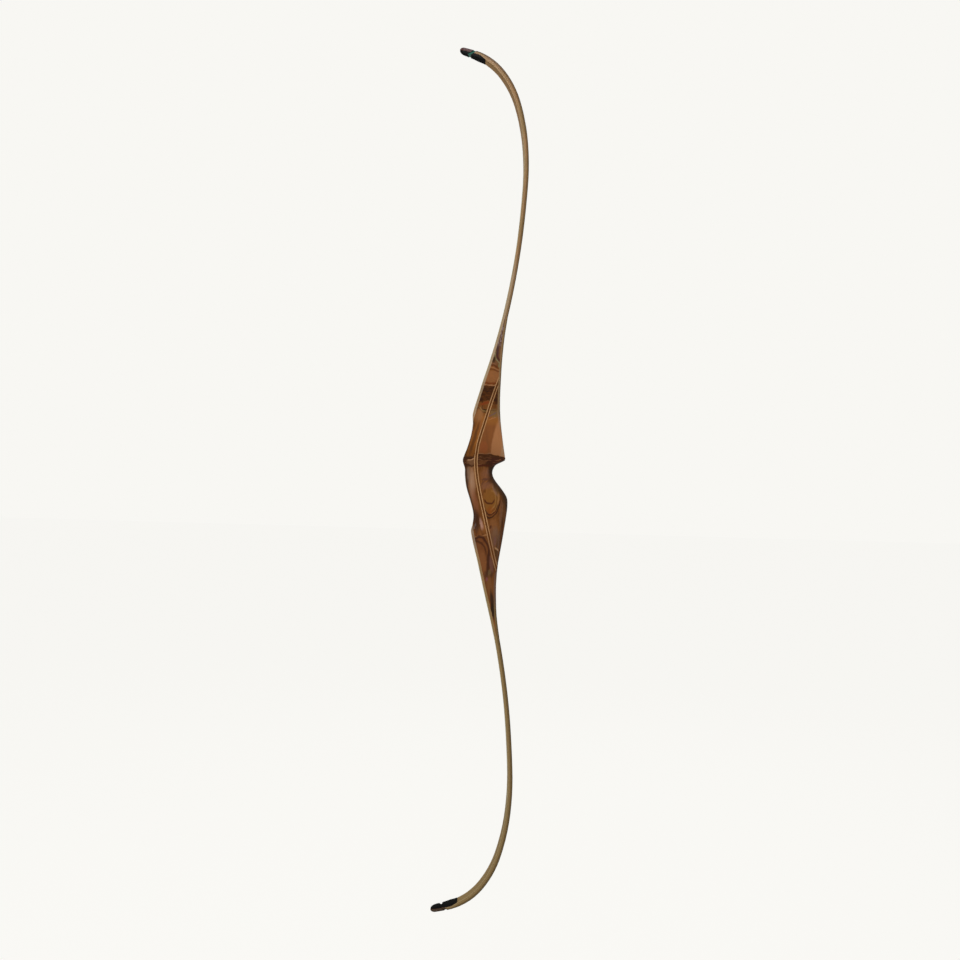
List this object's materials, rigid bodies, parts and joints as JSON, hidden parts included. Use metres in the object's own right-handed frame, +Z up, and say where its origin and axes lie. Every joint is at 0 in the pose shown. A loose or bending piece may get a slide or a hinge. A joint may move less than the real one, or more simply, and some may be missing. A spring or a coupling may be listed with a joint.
{
  "type": "recurve bow",
  "caption": "Unstrung laminated recurve bow: shaped wood riser with grip, arrow shelf and sight window, thin glass-faced limbs that curl away to grooved black tips.",
  "frame": {"origin": "middle of the bow's height, level with the hand, on the line of the grip's throat", "axes": "+Z up the bow, +X toward the archer (belly side), -Y the archer's left, where the arrow lies"},
  "size_m": [0.1344, 0.0442, 1.4926],
  "materials": {
    "riser_wood": "figured hardwood under a satin to gloss clear coat",
    "pale_veneer": "straight-grained pale veneer, clear coated",
    "brown_veneer": "straight-grained brown veneer, clear coated",
    "pale_core": "pale laminated core, edge grain under a clear coat",
    "dark_core": "dark laminated core, edge grain under a clear coat",
    "clear_glass": "clear glass-fibre laminate that shows the wood below, gloss",
    "tip_liner": "dark hardwood sliver, clear coated",
    "tip_overlay": "black fibre overlay, rubbed to a soft gloss",
    "nock_thread": "green waxed thread, wound"
  },
  "bodies": {
    "root": {"riser_back_block": "riser_wood", "stripe_back_veneer": "pale_veneer", "stripe_core_veneer": "brown_veneer", "stripe_belly_veneer": "pale_veneer", "riser_belly_block": "riser_wood", "upper_back_glass": "clear_glass", "upper_back_core": "pale_core", "upper_belly_core": "dark_core", "upper_belly_glass": "clear_glass", "lower_back_glass": "clear_glass", "lower_back_core": "pale_core", "lower_belly_core": "dark_core", "lower_belly_glass": "clear_glass", "upper_tip_liner": "tip_liner", "upper_tip_overlay": "tip_overlay", "lower_tip_liner": "tip_liner", "lower_tip_overlay": "tip_overlay", "upper_nock_thread": "nock_thread"}
  },
  "joints": []
}
